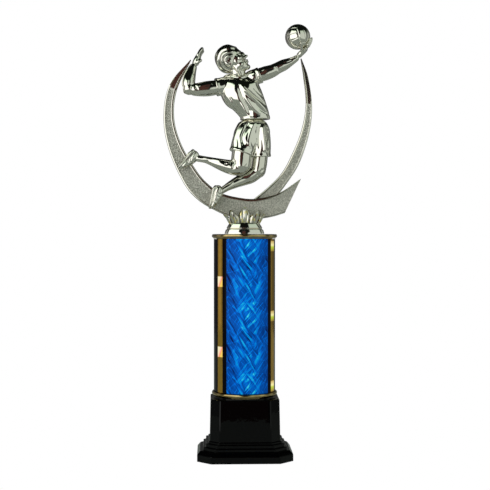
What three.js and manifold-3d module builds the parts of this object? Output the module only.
// A column trophy: a black stepped base, a foil column between two metal plates, and a metallised
// figure of a volleyball player leaping inside a crescent. One rod and two nuts hold it together.
// Millimetres, +Z up, +X to the viewer's right, -Y towards the viewer.
// The origin is the middle of the underside.

import * as THREE from 'three';
import { mergeVertices } from 'three/addons/utils/BufferGeometryUtils.js';
import Module from 'manifold-3d';

const wasm = await Module();
wasm.setup();

// ---------------------------------------------------------------- driving dimensions

const gap = 0.3; // left between pieces that touch
const reach = 1; // how far a cutting solid runs past the face it opens

// Base
const footHalfWidth = 39.1;
const footHalfDepth = 32;
const footCut = 11.3; // corner cut, measured along each side
const rimLift = 0.4; // the felt stands this far below the shell's rim
const bodyTop = 50;
const baseWall = 2.6;
const depthShare = 0.75; // the steps go in less at the front and back than at the sides
const cutShare = 0.33; // the corner cut shrinks by this share of each step
const baseSteps = [ // inset from the foot's outline, and height
  [0, 5.9],
  [2.6, 8.9],
  [5.0, 9.2],
  [5.0, 11.5],
  [7.1, 11.8],
  [7.1, 14.4],
  [9.1, 14.6],
  [9.1, 15.9],
  [10.3, 16.2],
];
const bodyDraft = 0.7; // the body leans in by this much from bottom to top
const footCavityTop = 4;
const bossRadius = 24;
const bossHeight = 1.1;
const padThickness = 1.5;

// Fasteners
const rodDiameter = 6;
const rodClearance = 0.8; // between the rod and the holes it passes through
const nutAcrossFlats = 10;
const nutHeight = 5;
const washerDiameter = 22;
const washerThickness = 1.6;
const nutLift = 0.9; // clear space between the felt and the lower nut

// Column and plates
const columnDiameter = 50.8;
const columnWall = 2;
const columnLength = 125.7;
const plateLip = 1.65; // how far a plate stands out past the column
const plateThickness = 4;
const spigotHeight = 3;
const spigotWall = 2;
const roundSides = 48;

// Pedestal and petals
const pedestalHalfWidth = 16.4;
const ovalShare = 0.58; // depth over width
const pedestalTop = 9.6;
const stemHalfWidth = 8.6;
const stemTop = 12.2;
const nutSeat = 3; // underside of the figure's nut above the pedestal's foot
const petalCount = 10;
const petalWall = 1.5;
const petalFoot = 7.2;
const petalTip = 22.6; // front and back petals
const petalDrop = 2.9; // each next petal is this much lower
const petalFootHalfWidth = 11.2;
const petalTipHalfWidth = 18.6;

// Crescents
const bandThickness = 4;
const slimBandThickness = 3;

// Ball
const ballRadius = 10.45;
const ballCentre = new THREE.Vector3(43.9, -4, 163);

// ---------------------------------------------------------------- heights that follow

const rodHoleDiameter = rodDiameter + rodClearance;
const bossTop = bodyTop + bossHeight;
const columnFoot = bossTop + plateThickness;
const columnTop = columnFoot + columnLength;
const figureFoot = columnTop + plateThickness;
const plateRadius = columnDiameter / 2 + plateLip;
const boreRadius = columnDiameter / 2 - columnWall;
const spigotRadius = boreRadius - gap;
const lowerNutFoot = padThickness + nutLift;
const washerFoot = lowerNutFoot + nutHeight + gap;
const weightFoot = washerFoot + washerThickness + gap;
const rodFoot = padThickness + nutLift / 2;
const rodTop = figureFoot + nutSeat + nutHeight + gap;

// ---------------------------------------------------------------- materials

const finishes = {
  black: { color: 0x090810, roughness: 0.08, metalness: 0 },
  felt: { color: 0x1c1c1e, roughness: 0.95, metalness: 0 },
  stone: { color: 0x9a9690, roughness: 0.9, metalness: 0 },
  steel: { color: 0xa6a8aa, roughness: 0.35, metalness: 1 },
  gold: { color: 0x89784a, roughness: 0.25, metalness: 1 },
  foil: { color: 0x004aa8, roughness: 0.3, metalness: 0.6 },
  silver: { color: 0xc9c7b6, roughness: 0.08, metalness: 1 },
  satin: { color: 0xa5a296, roughness: 0.4, metalness: 1 },
};

const trophy = new THREE.Group();
const figure = new THREE.Group();
figure.position.z = figureFoot;
trophy.add(figure);

function place(parent, name, geometry, finish) {
  const mesh = new THREE.Mesh(geometry, new THREE.MeshStandardMaterial(finishes[finish]));
  mesh.name = name;
  parent.add(mesh);
  return mesh;
}

// ---------------------------------------------------------------- shape functions

// Turns a geometry into a solid that can be cut or joined.
function solid(geometry) {
  const bare = geometry.clone();
  bare.deleteAttribute('normal');
  bare.deleteAttribute('uv');
  const merged = mergeVertices(bare, 1e-4);
  const corners = merged.index.array;
  const kept = [];
  for (let i = 0; i < corners.length; i += 3) {
    const [a, b, c] = corners.slice(i, i + 3);
    if (a !== b && b !== c && c !== a) kept.push(a, b, c);
  }
  return new wasm.Manifold(new wasm.Mesh({
    numProp: 3,
    vertProperties: Float32Array.from(merged.attributes.position.array),
    triVerts: Uint32Array.from(kept),
  }));
}

function geometryOf(body) {
  const mesh = body.getMesh();
  return indexed(Array.from(mesh.vertProperties), Array.from(mesh.triVerts));
}

function indexed(positions, corners) {
  const geometry = new THREE.BufferGeometry();
  geometry.setAttribute('position', new THREE.Float32BufferAttribute(positions, 3));
  geometry.setIndex(corners);
  geometry.computeVertexNormals();
  return geometry;
}

// Six times the signed volume, which is positive when the faces point out.
function signedVolume(points, corners) {
  let total = 0;
  for (let i = 0; i < corners.length; i += 3) {
    const [a, b, c] = [points[corners[i]], points[corners[i + 1]], points[corners[i + 2]]];
    total += a.dot(new THREE.Vector3().crossVectors(b, c));
  }
  return total;
}

// A skin over rings of equal count. Open lofts are capped at both ends with a fan; a closed loft
// joins its last ring to its first, as a tube wall does.
function loft(rings, closed = false) {
  const count = rings[0].length;
  const points = rings.flat();
  const corners = [];
  const spans = closed ? rings.length : rings.length - 1;
  for (let i = 0; i < spans; i++) {
    const next = (i + 1) % rings.length;
    for (let j = 0; j < count; j++) {
      const k = (j + 1) % count;
      corners.push(i * count + j, i * count + k, next * count + k);
      corners.push(i * count + j, next * count + k, next * count + j);
    }
  }
  if (!closed) {
    for (const [ring, turned] of [[0, true], [rings.length - 1, false]]) {
      const middle = new THREE.Vector3();
      rings[ring].forEach((point) => middle.addScaledVector(point, 1 / count));
      points.push(middle);
      for (let j = 0; j < count; j++) {
        const a = ring * count + j;
        const b = ring * count + (j + 1) % count;
        corners.push(...(turned ? [b, a] : [a, b]), points.length - 1);
      }
    }
  }
  if (signedVolume(points, corners) < 0) corners.reverse();
  return indexed(points.flatMap((point) => point.toArray()), corners);
}

// A rectangle with cut corners, seen from above.
function cutCornerRing(halfWidth, halfDepth, cut, z) {
  const ring = [];
  for (const [sx, sy] of [[1, 1], [-1, 1], [-1, -1], [1, -1]]) {
    const onSide = new THREE.Vector3(sx * halfWidth, sy * (halfDepth - cut), z);
    const onFront = new THREE.Vector3(sx * (halfWidth - cut), sy * halfDepth, z);
    ring.push(...(sx * sy > 0 ? [onSide, onFront] : [onFront, onSide]));
  }
  return ring;
}

// The base's outline, moved in from the foot's outline.
function baseRing(inset, z, wall = 0) {
  return cutCornerRing(
    footHalfWidth - inset - wall,
    footHalfDepth - inset * depthShare - wall,
    footCut - inset * cutShare - wall * cutShare,
    z,
  );
}

function ovalRing(halfWidth, halfDepth, z, sides = 32) {
  return Array.from({ length: sides }, (_, i) => {
    const angle = (i / sides) * Math.PI * 2;
    return new THREE.Vector3(halfWidth * Math.cos(angle), halfDepth * Math.sin(angle), z);
  });
}

// A turned piece: its profile is radius and height, and closes on itself or ends on the axis.
function turned(profile, sides = roundSides) {
  const points = profile.map(([radius, z]) => new THREE.Vector2(radius, z));
  return new THREE.LatheGeometry(points, sides).rotateX(Math.PI / 2);
}

function ringOf(innerRadius, outerRadius, foot, top, sides = roundSides) {
  return turned([
    [innerRadius, foot],
    [outerRadius, foot],
    [outerRadius, top],
    [innerRadius, top],
    [innerRadius, foot],
  ], sides);
}

function prism(radius, foot, top, sides) {
  return new THREE.CylinderGeometry(radius, radius, top - foot, sides)
    .rotateX(Math.PI / 2)
    .translate(0, 0, (foot + top) / 2);
}

function nut(foot) {
  const cornerRadius = nutAcrossFlats / Math.sqrt(3);
  const bore = rodDiameter / 2 + gap / 2;
  const body = solid(prism(cornerRadius, foot, foot + nutHeight, 6));
  return geometryOf(body.subtract(solid(prism(bore, foot - reach, foot + nutHeight + reach, 20))));
}

// Part of a limb: elliptical sections square to a smooth path. A station is x, y, z, the half
// width in the plane of the picture and the half depth. The numbers from and to count stations.
function limb(stations, from = 0, to = stations.length - 1, sides = 10) {
  const path = new THREE.CatmullRomCurve3(stations.map(([x, y, z]) => new THREE.Vector3(x, y, z)));
  const sizes = new THREE.CatmullRomCurve3(
    stations.map((station) => new THREE.Vector3(station[3], station[4], 0)),
  );
  const last = stations.length - 1;
  const steps = Math.max(2, Math.round((to - from) * 3));
  const rings = [];
  for (let i = 0; i <= steps; i++) {
    const t = (from + ((to - from) * i) / steps) / last;
    const centre = path.getPoint(t);
    const size = sizes.getPoint(t);
    const along = path.getTangent(t);
    const across = new THREE.Vector3().crossVectors(along, new THREE.Vector3(0, 1, 0)).normalize();
    const deep = new THREE.Vector3().crossVectors(across, along);
    rings.push(Array.from({ length: sides }, (_, j) => {
      const angle = (j / sides) * Math.PI * 2;
      return centre.clone()
        .addScaledVector(across, size.x * Math.cos(angle))
        .addScaledVector(deep, size.y * Math.sin(angle));
    }));
  }
  return loft(rings);
}

// The station number that lies a gap past a given station.
function past(stations, index) {
  const here = new THREE.Vector3(...stations[index].slice(0, 3));
  const next = new THREE.Vector3(...stations[index + 1].slice(0, 3));
  return index + (1.5 * gap) / here.distanceTo(next);
}

// A ball or egg shape: half sizes before it is tilted about Y.
function egg(halfWidth, halfDepth, halfHeight, tilt, x, y, z) {
  return new THREE.SphereGeometry(1, 16, 10)
    .scale(halfWidth, halfDepth, halfHeight)
    .rotateY(tilt)
    .translate(x, y, z);
}

function joined(...geometries) {
  return geometries.map(solid).reduce((body, next) => body.add(next));
}

// ---------------------------------------------------------------- base

const bodyInset = baseSteps.at(-1)[0];
const baseOutside = [baseRing(0, rimLift)];
baseSteps.forEach(([inset, z]) => baseOutside.push(baseRing(inset, z)));
baseOutside.push(baseRing(bodyInset + bodyDraft, bodyTop));

const cavityInset = bodyInset + bodyDraft;
const cavityTop = bodyTop - baseWall;
const baseInside = [
  baseRing(0, rimLift - reach, baseWall),
  baseRing(0, footCavityTop, baseWall),
  baseRing(cavityInset, footCavityTop + 0.1, baseWall),
  baseRing(cavityInset, cavityTop, baseWall),
];
const rodHole = prism(rodHoleDiameter / 2, -reach, figureFoot + reach, 20);
const baseShell = solid(loft(baseOutside))
  .add(solid(prism(bossRadius, bodyTop - reach, bossTop, roundSides)))
  .subtract(solid(loft(baseInside)))
  .subtract(solid(rodHole));
place(trophy, 'base_shell', geometryOf(baseShell), 'black');

const padRings = [baseRing(0, 0, baseWall + gap), baseRing(0, padThickness, baseWall + gap)];
place(trophy, 'base_pad', loft(padRings), 'felt');

const weightRings = [
  baseRing(cavityInset, weightFoot, baseWall + gap),
  baseRing(cavityInset, cavityTop - gap, baseWall + gap),
];
place(trophy, 'base_weight', geometryOf(solid(loft(weightRings)).subtract(solid(rodHole))), 'stone');

place(trophy, 'base_nut', nut(lowerNutFoot), 'steel');
place(
  trophy,
  'base_washer',
  ringOf(rodHoleDiameter / 2, washerDiameter / 2, washerFoot, washerFoot + washerThickness, 28),
  'steel',
);
place(trophy, 'tie_rod', prism(rodDiameter / 2, rodFoot, rodTop, 16), 'steel');

// ---------------------------------------------------------------- plates and column

// The plate's edge is a wide round bead over a hollow that comes in to the column's face.
function plate(foot, spigotUp) {
  const hole = rodHoleDiameter / 2;
  const top = foot + plateThickness;
  const low = foot + gap;
  const waist = columnDiameter / 2 + 0.2;
  const spigotInner = spigotRadius - spigotWall;
  const upper = spigotUp
    ? [
      [spigotRadius, top],
      [spigotRadius, top + spigotHeight],
      [spigotInner, top + spigotHeight],
      [spigotInner, top],
    ]
    : [];
  const lower = spigotUp
    ? []
    : [
      [spigotInner, low],
      [spigotInner, low - spigotHeight],
      [spigotRadius, low - spigotHeight],
      [spigotRadius, low],
    ];
  return turned([
    [hole, low],
    ...lower,
    [waist, low],
    [waist + 0.35, foot + 1.2],
    [plateRadius - 0.2, foot + 2.1],
    [plateRadius, foot + 2.8],
    [plateRadius - 0.3, foot + 3.6],
    [plateRadius - 0.9, top],
    ...upper,
    [hole, top],
    [hole, low],
  ]);
}

place(trophy, 'lower_plate', plate(bossTop, true), 'gold');
place(
  trophy,
  'column_tube',
  ringOf(boreRadius, columnDiameter / 2, columnFoot + gap, columnTop),
  'foil',
);
place(trophy, 'upper_plate', plate(columnTop, false), 'gold');

// ---------------------------------------------------------------- pedestal and petals

// The pedestal's height and half width from foot to stem. The groove is its third and fourth rows.
function pedestalBody(grow) {
  const rows = [
    [gap - grow, pedestalHalfWidth],
    [3.5, pedestalHalfWidth - 0.6],
    [4, pedestalHalfWidth - 1.5],
    [4.7, pedestalHalfWidth - 1.4],
    [5.4, pedestalHalfWidth - 1.7],
    [7.4, pedestalHalfWidth - 2.7],
    [pedestalTop + grow, pedestalHalfWidth - 3.8],
    [pedestalTop + grow + 0.1, stemHalfWidth],
    [stemTop + grow, stemHalfWidth],
  ];
  return loft(rows.map(([z, half]) => ovalRing(half + grow, half * ovalShare + grow, z)));
}

const nutPocketRadius = nutAcrossFlats / Math.sqrt(3) + gap;
const nutPocketTop = nutSeat + nutHeight + 2 * gap;
const pedestal = solid(pedestalBody(0))
  .subtract(solid(prism(nutPocketRadius, -reach, nutPocketTop, 6)));
place(figure, 'pedestal', geometryOf(pedestal), 'silver');
place(figure, 'figure_nut', nut(nutSeat), 'steel');

// ---------------------------------------------------------------- crescents

// An edge pair is the outer x and z, the inner x and z, and y. The two edges are smooth curves.
const mainBand = [
  [-44.7, 144.4, -44.3, 143.8, 0],
  [-62.2, 123, -55.8, 119.5, 0],
  [-67, 96.4, -58.2, 96.4, 0],
  [-62.7, 69.9, -52.2, 74.2, 0],
  [-51, 43.3, -39.6, 52.4, 0],
  [-40.5, 30, -30.2, 41.6, 0],
  [-27.5, 21.2, -19.6, 34.2, 0],
  [-11, 14.3, -5.5, 30.4, 0],
  [8, 12.6, 10, 29.4, 0],
  [22, 14.2, 29, 34.4, 0],
  [33.4, 17.5, 46.9, 46, 0],
];
const slimBand = [
  [47.3, 145.6, 46.5, 145.4, -1],
  [53, 129.6, 49, 129.6, 0],
  [56.3, 106, 51, 107, 1.4],
  [53.9, 83.2, 47.2, 85.5, 2.4],
  [46.3, 60, 38.4, 63.8, 3.6],
  [37, 44.5, 30.2, 49.8, 4.2],
  [25.5, 30, 18, 37.6, 4.2],
  [12, 18.5, 5, 27, 4.2],
];
const bandBevel = 0.5;
const bandSteps = 3;

function band(edges, thickness, grow = 0) {
  const outer = new THREE.CatmullRomCurve3(edges.map(([x, z, , , y]) => new THREE.Vector3(x, y, z)));
  const inner = new THREE.CatmullRomCurve3(edges.map(([, , x, z, y]) => new THREE.Vector3(x, y, z)));
  const steps = (edges.length - 1) * bandSteps;
  const rings = [];
  for (let i = 0; i <= steps; i++) {
    const a = outer.getPoint(i / steps);
    const b = inner.getPoint(i / steps);
    const across = new THREE.Vector3().subVectors(b, a).normalize();
    const width = a.distanceTo(b);
    const bevel = Math.min(bandBevel, width / 3);
    const half = Math.min(thickness / 2, 0.8 + width / 3) + grow;
    const section = [
      [-grow, -half + bevel],
      [bevel - grow, -half],
      [width - bevel + grow, -half],
      [width + grow, -half + bevel],
      [width + grow, half - bevel],
      [width - bevel + grow, half],
      [bevel - grow, half],
      [-grow, half - bevel],
    ];
    rings.push(section.map(([s, y]) => a.clone().addScaledVector(across, s)
      .add(new THREE.Vector3(0, y, 0))));
  }
  return loft(rings);
}

place(figure, 'crescent_main', band(mainBand, bandThickness), 'satin');
place(figure, 'crescent_right', band(slimBand, slimBandThickness), 'satin');

// The petals: one wall that flares outwards, whose top edge rises to a point at each petal.
function petals() {
  const perPetal = 6;
  const rows = 3;
  const columns = petalCount * perPetal;
  const rings = [];
  for (let row = 0; row < 2 * (rows + 1); row++) {
    const inside = row > rows;
    const share = inside ? (2 * rows + 1 - row) / rows : row / rows;
    rings.push(Array.from({ length: columns }, (_, i) => {
      const turn = i / columns;
      const phase = ((i % perPetal) / perPetal + 0.5) % 1 - 0.5;
      const petal = Math.round(i / perPetal) % petalCount;
      const away = Math.min(petal % 5, 5 - (petal % 5));
      const tip = petalTip - petalDrop * away;
      const valley = tip - 6 + 1.2 * away;
      const top = valley + (tip - valley) * (1 - (2 * Math.abs(phase)) ** 1.5);
      const z = petalFoot + (top - petalFoot) * share;
      const flare = (z - petalFoot) / (petalTip - petalFoot);
      const bulge = 0.7 * Math.cos(phase * Math.PI) * share;
      const half = THREE.MathUtils.lerp(petalFootHalfWidth, petalTipHalfWidth, flare ** 0.8)
        + bulge - (inside ? petalWall : 0);
      const depth = half * ovalShare - (inside ? petalWall * (1 - ovalShare) : 0);
      const angle = turn * Math.PI * 2 - Math.PI / 2;
      return new THREE.Vector3(half * Math.cos(angle), depth * Math.sin(angle), z);
    }));
  }
  return loft(rings, true);
}

const petalCrown = solid(petals())
  .subtract(solid(pedestalBody(gap)))
  .subtract(solid(band(mainBand, bandThickness, gap)))
  .subtract(solid(band(slimBand, slimBandThickness, gap)));
place(figure, 'petal_crown', geometryOf(petalCrown), 'silver');

// ---------------------------------------------------------------- player

// Stations are x, y, z, half width and half depth, from the body outwards.
const torso = [
  [-3.8, -3.5, 132.5, 6.5, 5.5],
  [-4.6, -3.5, 128.6, 11.5, 6.5],
  [-4.6, -3.5, 123.5, 16.5, 8.3],
  [-2.2, -3.5, 117.5, 16.6, 9.2],
  [1.9, -3.5, 111, 14.4, 9],
  [5.6, -3.5, 105, 12.9, 8.4],
  [8, -3.5, 99.5, 12.3, 7.9],
  [8.8, -3.5, 91, 12.5, 7.9],
];
const pelvis = [
  [8.7, -3.5, 98.5, 12.2, 7.6],
  [7.6, -3.5, 88.5, 14.3, 8.7],
  [5.6, -3.5, 80, 15.8, 9.3],
  [4.2, -3.5, 74, 13, 8.5],
];
const raisedUpperArm = [
  [-16, -4, 121.8, 7.6, 6.8],
  [-23.6, -4.6, 120.6, 7.5, 6.6],
  [-33, -5.4, 119.5, 6.2, 5.6],
  [-40, -5.7, 118.9, 5.4, 5],
  [-46, -5.8, 119, 4.9, 4.6],
];
const raisedForearm = [
  [-46.4, -5.8, 119.6, 4.8, 4.6],
  [-45.2, -3, 129, 4.4, 4.2],
  [-42, 0.8, 138, 2.7, 2.5],
  [-39.4, 3, 145, 3.5, 1.8],
  [-36.2, 4.8, 151.4, 3, 1.5],
  [-33.6, 5.6, 155, 1.3, 0.8],
];
const ballArm = [
  [5.5, -3, 128.8, 7, 6.6],
  [12.4, -3, 131.4, 6.3, 5.8],
  [20, -3, 133.8, 5.6, 5.2],
  [27.2, -3.2, 137.4, 5.1, 4.7],
  [34.5, -3.6, 140.8, 4.3, 4],
  [41.2, -4, 144.2, 2.7, 2.5],
  [45.8, -4, 148.4, 2.5, 2.4],
  [50.4, -4, 153.2, 3.2, 4.8],
  [54.2, -4, 158.6, 1.5, 4.2],
  [55.2, -4, 162.6, 0.8, 2.2],
];
const frontTrouser = [
  [2.2, -6.5, 82, 9.5, 7.8],
  [-2, -8, 68.6, 9.4, 7.6],
];
const rearTrouser = [
  [12.4, 0.5, 80, 8.4, 7.4],
  [13, 1.8, 64.6, 7.6, 7.2],
];
const frontThigh = [
  [-1.8, -7.8, 67.6, 8, 6.8],
  [-2.6, -8.4, 61.5, 7.7, 6.7],
  [-3.8, -8.6, 55.5, 7, 6.6],
];
const frontShin = [
  [-4, -8.6, 54.2, 6.8, 6.5],
  [-13.3, -8.4, 55.2, 5.8, 5.7],
  [-23.2, -7.6, 58.3, 4.3, 4.3],
  [-31.6, -6.8, 61, 3, 2.9],
  [-37.6, -6.2, 62, 2.8, 2.8],
];
const rearThigh = [
  [12.6, 2, 63.4, 6.8, 6.7],
  [11.2, 2.2, 57, 6.9, 6.6],
  [9.6, 2, 52, 6.6, 6.4],
];
const rearShin = [
  [8, 2, 50.6, 6.4, 6.2],
  [-0.5, 1, 45.8, 5, 5],
  [-8.6, -1.4, 42.2, 4.1, 4.1],
  [-15.4, -3.8, 38, 3.1, 3],
  [-19, -4.9, 35.8, 2.8, 2.7],
];
const frontShoe = [
  [-40.4, -5.8, 68, 2.4, 2],
  [-41.6, -5.8, 64.6, 4.9, 2.9],
  [-45.4, -5.8, 61, 4.6, 3],
  [-49.8, -5.8, 57.2, 3, 2.6],
  [-53.6, -5.4, 54.6, 1.2, 1.4],
];
const rearShoe = [
  [-21.6, -5.8, 40, 3, 2],
  [-22, -5.8, 37.2, 4.3, 2.9],
  [-23.6, -5.8, 31, 3.8, 3],
  [-25.4, -5.8, 25.4, 2.6, 2.4],
  [-27.4, -5.6, 21, 1.2, 1.4],
];
const thumb = [
  [-40.4, 2.2, 143, 1.6, 1.4],
  [-37, 2.4, 144, 1.3, 1.2],
  [-34.6, 2.5, 144.4, 0.8, 0.7],
];
const hem = 1; // the station where a sleeve ends

const waistHeight = 94.8;
const collarHeight = 131;

// Everything between two heights, as a block to cut away.
function layer(foot, top) {
  const size = 400;
  return solid(new THREE.BoxGeometry(size, size, top - foot).translate(0, 0, (foot + top) / 2));
}

// Sleeves reach into the jersey and are joined to it; so are the legs of the shorts.
const jersey = joined(limb(torso, 0, 7, 16), limb(raisedUpperArm, 0, hem), limb(ballArm, 0, hem))
  .subtract(layer(0, waistHeight))
  .subtract(solid(prism(7.4, collarHeight, collarHeight + 10, 32).translate(-4.2, -3.5, 0)));
place(figure, 'player_jersey', geometryOf(jersey), 'silver');

const shorts = joined(limb(pelvis, 0, 3, 16), limb(frontTrouser), limb(rearTrouser))
  .subtract(layer(waistHeight - gap, 2 * waistHeight));
place(figure, 'player_shorts', geometryOf(shorts), 'silver');

const headTilt = THREE.MathUtils.degToRad(-32);
const neck = [
  [-6.4, -3.5, 141, 5.8, 5],
  [-5.2, -3.5, 135.5, 5.8, 5],
  [-3.8, -3.5, 129, 6, 5.2],
];
const head = joined(
  egg(11.2, 8.8, 11, headTilt, -12.8, -3.5, 145.2),
  egg(8, 6.6, 9.6, headTilt, -6.2, -3.5, 142.6),
  limb(neck),
).subtract(layer(0, collarHeight + gap));
place(figure, 'player_head', geometryOf(head), 'silver');

// A joint is a ball at the first station of the outer limb.
function jointBall([x, y, z, half, deep]) {
  return egg(half, deep, half, 0, x, y, z);
}

const raisedArm = joined(
  limb(raisedUpperArm, past(raisedUpperArm, hem), 4),
  jointBall(raisedForearm[0]),
  limb(raisedForearm),
  limb(thumb),
);
place(figure, 'arm_raised', geometryOf(raisedArm), 'silver');

const ballClearance = new THREE.SphereGeometry(ballRadius + gap, 24, 14)
  .translate(...ballCentre.toArray());
const carryingArm = solid(limb(ballArm, past(ballArm, hem), 9)).subtract(solid(ballClearance));
place(figure, 'arm_ball', geometryOf(carryingArm), 'silver');

const ball = new THREE.SphereGeometry(ballRadius, 24, 14).translate(...ballCentre.toArray());
place(figure, 'volleyball', ball, 'silver');

// A leg is cut back by a gap from its trouser above and its shoe below.
function leg(thigh, shin, trouser, shoe) {
  const [above, below] = [trouser, shoe].map((shape) => solid(limb(
    shape.map(([x, y, z, half, deep]) => [x, y, z, half + gap, deep + gap]),
  )).translate(0, 0, shape === trouser ? -gap : 0));
  const whole = joined(limb(thigh), jointBall(shin[0]), limb(shin));
  return geometryOf(whole.subtract(above).subtract(below));
}

place(figure, 'leg_front', leg(frontThigh, frontShin, frontTrouser, frontShoe), 'silver');
place(figure, 'leg_rear', leg(rearThigh, rearShin, rearTrouser, rearShoe), 'silver');
place(figure, 'shoe_front', limb(frontShoe), 'silver');
place(figure, 'shoe_rear', limb(rearShoe), 'silver');

export default trophy;
